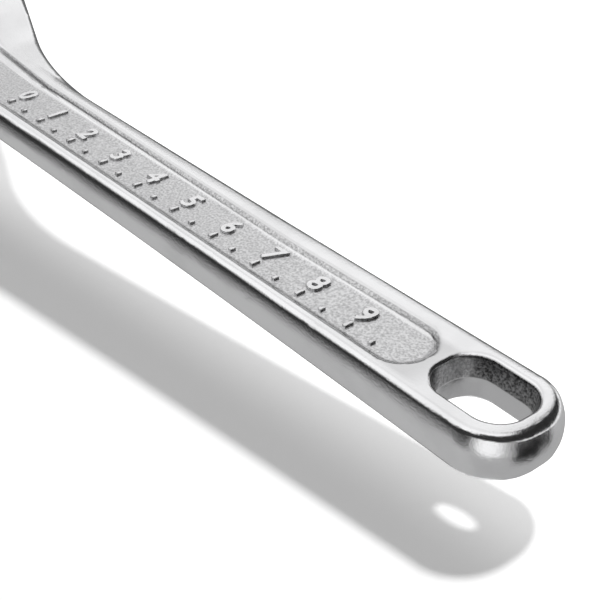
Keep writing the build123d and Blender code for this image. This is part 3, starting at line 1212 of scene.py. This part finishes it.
@dataclass
class PanelScale:
    """A raised length scale in a panel: a stroke every few millimetres and plain numbers.

    Sizes are in millimetres, apart from the share of a letter's size that a number is high.
    """

    face: Face
    first_reach: float = 72.0
    last_reach: float = 186.0
    spacing: float = 6.0
    strokes_per_number: int = 2
    stroke_width: float = 0.75
    short_stroke: float = 1.1
    long_stroke: float = 1.8
    stroke_foot: float = -3.7
    number_height: float = 4.1
    number_share: float = 0.7
    number_middle: float = 1.35
    boldness: float = 0.06
    axis_start: float = -2.32
    axis_slope: float = 0.0066
    relief: float = 0.45
    sink: float = 0.1
    edge_round: float = 0.16
    sharp_angle: float = 50.0

    def build(self, material: Finish) -> Piece:
        """Builds the strokes and numbers, and lays them on the panel's floor.

        Args:
            material: The finish.

        Returns:
            The piece.
        """
        shape = bmesh.new()
        count = int((self.last_reach - self.first_reach) / self.spacing)
        for index in range(count + 1):
            reach = self.first_reach + index * self.spacing
            number, rest = divmod(index, self.strokes_per_number)
            self.add_stroke(shape, reach, self.short_stroke if rest else self.long_stroke)
            if not rest:
                self.add_number(shape, reach, number)
        bmesh.ops.transform(shape, matrix=self.place(), verts=shape.verts)
        bmesh.ops.recalc_face_normals(shape, faces=shape.faces)
        piece = new_piece(f"panel_scale_{self.face.name.lower()}", shape, material, "body")
        smooth_by_angle(piece, self.sharp_angle)
        even_normals(piece)
        return piece

    def place(self) -> Matrix:
        """From the panel's own plane to its place on this face of the handle.

        Returns:
            The matrix, from millimetres to metres.
        """
        side = self.face.value
        floor = MID_HEIGHT + side * (half_thickness(0.0) - PANEL_DEPTH)
        rows = (
            (1.0, 0.0, 0.0, 0.0),
            (self.axis_slope, side, 0.0, self.axis_start),
            (side * TAPER_SLOPE, 0.0, side, floor),
            (0.0, 0.0, 0.0, 1.0),
        )
        return Matrix.Scale(MM, 4) @ Matrix(rows)

    def add_stroke(self, shape: Shape, reach: float, length: float) -> None:
        """Adds one raised stroke.

        Args:
            shape: The bmesh to add to, in millimetres above the floor.
            reach: Place along the handle.
            length: The stroke's length.
        """
        middle = self.stroke_foot + length / 2
        size = Matrix.Diagonal((self.stroke_width, length, self.relief + self.sink, 1.0))
        spot = Matrix.Translation((reach, middle, (self.relief - self.sink) / 2))
        made = bmesh.ops.create_cube(shape, size=1.0, matrix=spot @ size)
        edges = dict.fromkeys(edge for vert in made["verts"] for edge in vert.link_edges)
        bmesh.ops.bevel(
            shape,
            geom=[edge for edge in edges if all(vert.co.z > 0.0 for vert in edge.verts)],
            offset=self.edge_round,
            offset_type="OFFSET",
            segments=2,
            profile=0.5,
            affect="EDGES",
            material=-1,
        )

    def add_number(self, shape: Shape, reach: float, value: int) -> None:
        """Adds one raised number.

        Args:
            shape: The bmesh to add to, in millimetres above the floor.
            reach: Place along the handle of its middle.
            value: The number.
        """
        words = bpy.data.curves.new("scale_number", "FONT")
        words.body = str(value)
        words.size = self.number_height / self.number_share
        words.align_x = "CENTER"
        words.extrude = (self.relief + self.sink) / 2 - self.edge_round
        words.bevel_depth = self.edge_round
        words.bevel_resolution = 1
        words.resolution_u = 4
        words.offset = self.boldness
        holder = add_object("scale_number", words)
        bpy.context.view_layer.update()
        data = bpy.data.meshes.new_from_object(holder.evaluated_get(bpy.context.evaluated_depsgraph_get()))
        shift = (reach, self.number_middle - self.number_height / 2, (self.relief - self.sink) / 2)
        data.transform(Matrix.Translation(shift))
        shape.from_mesh(data)
        bpy.data.objects.remove(holder)
        bpy.data.curves.remove(words)
        bpy.data.meshes.remove(data)


# Studio


def add_stage(name: str, shape: Shape, material: Finish | None, hidden_from: tuple[Ray, ...]) -> None:
    """Adds a stage object, which isn't part of the tool.

    Args:
        name: The object's name.
        shape: Its shape, in metres; it is freed.
        material: Its finish, if it has one.
        hidden_from: The rays that don't see it.
    """
    thing = add_object(name, mesh_data(name, shape))
    if material:
        thing.data.materials.append(material)
    for ray in hidden_from:
        setattr(thing, ray.value, False)


@dataclass(frozen=True)
class Circle:
    """A circle that cards stand on, in metres."""

    radius: float
    centre: Triple


class Ring(Enum):
    """The cards' circles: one wide, about the tool, and two about the handle's end."""

    WIDE = Circle(2.0, (0.15, 0.0, 0.007))
    END = Circle(0.4, (0.208, 0.0, 0.007))
    CLOSE = Circle(0.11, (0.208, 0.0, 0.007))


@dataclass
class Flag:
    """A dark or grey card that only reflections see: a strip of a cylinder about the object.

    Its angles are in degrees, and its tones are those of its lower and its upper edge.
    """

    name: str
    azimuths: Pair
    elevations: Pair
    tones: Pair = (0.03, 0.03)
    ring: Ring = Ring.WIDE
    steps: int = 24

    def build(self) -> None:
        """Spins an upright edge into the card."""
        shape = bmesh.new()
        start, stop = (math.radians(value) for value in self.azimuths)
        heading = Vector((math.cos(start), math.sin(start), 0.0)) * self.ring.value.radius
        foot = Vector(self.ring.value.centre) + heading
        ends = [shape.verts.new(foot + UP * height) for height in self.heights()]
        bmesh.ops.spin(
            shape,
            geom=[*ends, shape.edges.new(ends)],
            cent=self.ring.value.centre,
            axis=UP,
            angle=stop - start,
            steps=self.steps,
            use_merge=False,
        )
        hidden_from = (Ray.CAMERA, Ray.DIFFUSE, Ray.SHADOW, Ray.TRANSMISSION)
        add_stage(self.name, shape, self.finish(), hidden_from)

    def heights(self) -> list[float]:
        """The heights of the card's two edges above the middle of its circle."""
        return [self.ring.value.radius * math.tan(math.radians(value)) for value in self.elevations]

    def finish(self) -> Finish:
        """Writes a finish that no lamp changes.

        Returns:
            The material.
        """
        material, nodes = new_material(self.name)
        glow = nodes.add("Emission")
        nodes.feed(glow.inputs["Color"], self.tone(nodes))
        nodes.end("OutputMaterial", glow.outputs["Emission"])
        return material

    def tone(self, nodes: NodeWriter) -> Socket:
        """A tone that runs from the card's lower edge to its upper edge.

        Args:
            nodes: The material's writer.

        Returns:
            The tone socket.
        """
        level = self.ring.value.centre[2]
        low, high = (level + height for height in self.heights())
        return nodes.ramp(nodes.object_place()[2], (low, high), self.tones)


@dataclass
class SpotFlag(Flag):
    """A grey card with a soft bright oval on it; its tones are those of the edge and of the oval."""

    spot: Pair = (-50.0, -10.0)
    half: Pair = (34.0, 25.0)
    core: float = 0.35

    def tone(self, nodes: NodeWriter) -> Socket:
        """A tone that falls off from the middle of the oval.

        Args:
            nodes: The material's writer.

        Returns:
            The tone socket.
        """
        circle = self.ring.value
        x, y, z = (nodes.math("SUBTRACT", *pair) for pair in zip(nodes.object_place(), circle.centre))
        turns = (nodes.math("ARCTAN2", y, x), nodes.math("ARCTAN2", z, circle.radius))
        squares = []
        for turn, middle, half in zip(turns, self.spot, self.half):
            off = nodes.math("SUBTRACT", turn, math.radians(middle))
            part = nodes.math("DIVIDE", off, math.radians(half))
            squares.append(nodes.product(part, part))
        off = nodes.math("SQRT", nodes.math("ADD", *squares))
        return nodes.ramp(off, (self.core, 1.0), self.tones[::-1])


@dataclass
class Gobo:
    """A small frame in the hang hole that narrows the light falling through it; only shadows see it."""

    centre: Triple = (HOLE_REACH, 0.0, MID_HEIGHT)
    outer: Pair = (9.4, 6.8)
    inner: Pair = (4.0, 1.5)
    shift: Triple = (-0.4, 0.9, 0.0)
    corners: int = 16

    def build(self) -> None:
        """Bridges an inner and an outer oval."""
        shape = bmesh.new()
        middle = Vector(self.centre)
        rim = self.ring(shape, middle, self.outer)
        eye = self.ring(shape, middle + Vector(self.shift), self.inner)
        bmesh.ops.bridge_loops(shape, edges=[*rim, *eye])
        hidden_from = (Ray.CAMERA, Ray.DIFFUSE, Ray.GLOSSY, Ray.TRANSMISSION)
        add_stage("hole_gobo", shape, None, hidden_from)

    def ring(self, shape: Shape, middle: Vector, half: Pair) -> list[bmesh.types.BMEdge]:
        """Adds an oval.

        Args:
            shape: The bmesh to add to.
            middle: The oval's middle, in millimetres.
            half: Its half length and half width.

        Returns:
            Its edges.
        """
        lay = Matrix.Scale(MM, 4) @ Matrix.Translation(middle) @ Matrix.Diagonal((*half, 1.0, 1.0))
        made = bmesh.ops.create_circle(shape, segments=self.corners, radius=1.0, matrix=lay)
        return [*dict.fromkeys(edge for vert in made["verts"] for edge in vert.link_edges)]


@dataclass
class Studio:
    """Pale floor, key lamp, white surround, dark cards and the camera.

    The places of the floor and of the camera are in millimetres, and angles are in degrees.
    """

    floor_height: float = -13.95
    floor_slope: float = 0.0873
    floor_pivot: float = 148.0
    floor_x: Pair = (-420.0, 285.0)
    floor_y: Pair = (-420.0, 520.0)
    floor_tone: float = 0.8
    # The floor glows more towards the tool: painted light that lightens its shadow there.
    floor_glow_and_shadow_lift: Pair = (0.265, 0.585)
    shadow_lift_y: Pair = (-16.0, 6.0)
    key_way: Triple = (0.1876, -0.4858, -1.0)
    key_spot: Triple = (0.1, 0.2, 0.6)
    key_strength: float = 2.5
    key_angle: float = 6.0
    surround: float = 0.24
    camera_spot: Triple = (306.104, -116.156, 127.769)
    camera_azimuth: float = 50.9
    camera_elevation: float = 33.868
    camera_roll: float = 0.063
    lens: float = 78.0
    sensor: float = 36.0
    clip: Pair = (0.01, 20.0)

    def build(self) -> None:
        """Builds the floor, lights, cards and camera."""
        self.add_floor()
        self.add_key()
        self.add_world()
        for flag in self.flags():
            flag.build()
        Gobo().build()
        self.add_camera()
        bpy.context.scene.view_settings.view_transform = "Standard"

    @staticmethod
    def flags() -> list[Flag]:
        """The cards that the metal reflects.

        Returns:
            Cards in front, about the handle's end and behind.
        """
        return [
            Flag("front_flag", (-172.0, -120.0), (-10.0, 17.0)),
            Flag("front_top", (-180.0, -120.0), (17.0, 31.0), (0.2, 1.0)),
            Flag("corner_flag", (-120.0, -84.0), (-10.0, 42.0)),
            Flag("turn_flag", (-84.0, -12.0), (3.0, 68.0), ring=Ring.CLOSE),
            Flag("front_fade", (-180.0, -84.0), (-27.0, -10.0), (0.47, 0.03)),
            Flag("front_low", (-180.0, -84.0), (-80.0, -27.0), (0.45, 0.47)),
            SpotFlag("end_glow", (-84.0, -4.0), (-38.0, 3.0), (0.42, 1.05)),
            Flag("end_high", (-12.0, 106.0), (11.0, 68.0), (0.02, 0.02), Ring.CLOSE),
            Flag("end_spot", (-8.0, 46.0), (-40.0, -1.0), (0.02, 0.01), Ring.END),
            Flag("end_low", (-84.0, 110.0), (-80.0, -38.0), (0.4, 0.42)),
            Flag("end_side", (46.0, 110.0), (-38.0, -4.0), (0.42, 0.5), Ring.END),
            Flag("rear_low", (110.0, 180.0), (-62.0, 8.0), (0.2, 0.12)),
            Flag("rear_fade", (110.0, 149.0), (8.0, 26.0), (0.12, 1.0)),
            Flag("rear_fade_neck", (149.0, 180.0), (8.0, 20.0), (0.12, 1.0)),
            Flag("rear_high", (95.0, 153.0), (26.0, 48.0), (1.0, 0.85)),
            Flag("rear_neck", (153.0, 180.0), (20.0, 48.0), (0.86, 0.75)),
            Flag("rear_top", (95.0, 180.0), (48.0, 80.0), (0.85, 0.8)),
        ]

    def add_floor(self) -> None:
        """Builds the floor, which glows a little so that its white needs no strong lamp, and glows more
        towards the tool, painted light that lightens the shadow there.
        """
        shape = bmesh.new()
        bmesh.ops.create_grid(shape, x_segments=1, y_segments=1, size=1.0)
        for corner in shape.verts:
            x = self.floor_x[corner.co.x > 0.0]
            y = self.floor_y[corner.co.y > 0.0]
            corner.co = Vector((x, y, self.floor_height + self.floor_slope * (x - self.floor_pivot))) * MM
        material, nodes = new_material("pale_floor")
        shader = nodes.add("BsdfPrincipled")
        shader.inputs["Base Color"].default_value = (self.floor_tone, self.floor_tone, self.floor_tone, 1.0)
        shader.inputs["Roughness"].default_value = 1.0
        shader.inputs["Specular IOR Level"].default_value = 0.0
        shader.inputs["Emission Color"].default_value = WHITE
        # The glow rises towards the tool: painted light that lightens the floor's shadow next to it.
        near, far = (value * MM for value in self.shadow_lift_y)
        glow = nodes.ramp(nodes.object_place()[1], (near, far), self.floor_glow_and_shadow_lift)
        nodes.feed(shader.inputs["Emission Strength"], glow)
        nodes.end("OutputMaterial", shader.outputs["BSDF"])
        add_stage("floor", shape, material, (Ray.GLOSSY,))

    def add_key(self) -> None:
        """Hangs the key lamp that casts the shadow."""
        lamp = add_object("key_lamp", bpy.data.lights.new("key_lamp", "SUN"))
        lamp.data.energy = self.key_strength
        lamp.data.angle = math.radians(self.key_angle)
        lamp.rotation_mode = "QUATERNION"
        lamp.rotation_quaternion = Vector(self.key_way).to_track_quat("-Z", "Y")
        lamp.location = self.key_spot
        lamp.visible_glossy = False

    def add_world(self) -> None:
        """Makes the surround white for the camera and for reflections, and dimmer as a light."""
        world = bpy.data.worlds.new("surround")
        bpy.context.scene.world = world
        world.use_nodes = True
        nodes = NodeWriter(world.node_tree)
        path = nodes.add("LightPath").outputs
        seen = nodes.math("MAXIMUM", path["Is Camera Ray"], path["Is Glossy Ray"])
        seen = nodes.math("MAXIMUM", seen, path["Is Transmission Ray"])
        sky = nodes.add("Background")
        sky.inputs["Color"].default_value = WHITE
        nodes.feed(sky.inputs["Strength"], nodes.between(seen, self.surround, 1.0))
        nodes.end("OutputWorld", sky.outputs["Background"])

    def add_camera(self) -> None:
        """Sets the camera at the photograph's angle."""
        camera = add_object("camera", bpy.data.cameras.new("camera"))
        camera.data.lens = self.lens
        camera.data.sensor_width = self.sensor
        camera.data.sensor_height = self.sensor
        camera.data.clip_start, camera.data.clip_end = self.clip
        angles = (self.camera_azimuth, self.camera_elevation, self.camera_roll)
        azimuth, elevation, roll = (math.radians(value) for value in angles)
        right = Vector((math.cos(azimuth), math.sin(azimuth), 0.0))
        back = right.cross(UP) * math.cos(elevation) + UP * math.sin(elevation)
        level = Matrix((right, back.cross(right), back)).transposed() @ Matrix.Rotation(roll, 3, "Z")
        camera.matrix_world = Matrix.Translation(Vector(self.camera_spot) * MM) @ level.to_4x4()
        bpy.context.scene.camera = camera


def main() -> None:
    """Builds the wrench's pieces in order and reports them, then builds the studio."""
    logging.basicConfig(level=logging.INFO)
    effects = SurfaceEffects(BlastedGrain().build(), HandlingMarks().build())
    forging = PlatedForging().build(effects)
    jaw_plate = PlatedJaw().build(effects)
    worm_steel, pin_steel, wire = (TurnedSteel(kind).build(effects) for kind in Turned)
    pieces = [
        ForgedBody("wrench_body", "body", "plated_forging").build(forging),
        SolidPiece("sliding_jaw", "jaw", "plated_jaw").build(jaw_plate),
        ThumbWorm().build(worm_steel),
        SolidPiece("worm_pin", "body", "pin_steel").build(pin_steel),
        SolidPiece("worm_spring", "worm", "spring_wire").build(wire),
        *(PanelScale(face).build(forging) for face in Face),
    ]
    for piece in pieces:
        log.info("piece %s: %d faces", piece.name, len(piece.data.polygons))
    Studio().build()


if __name__ == "__main__":
    main()
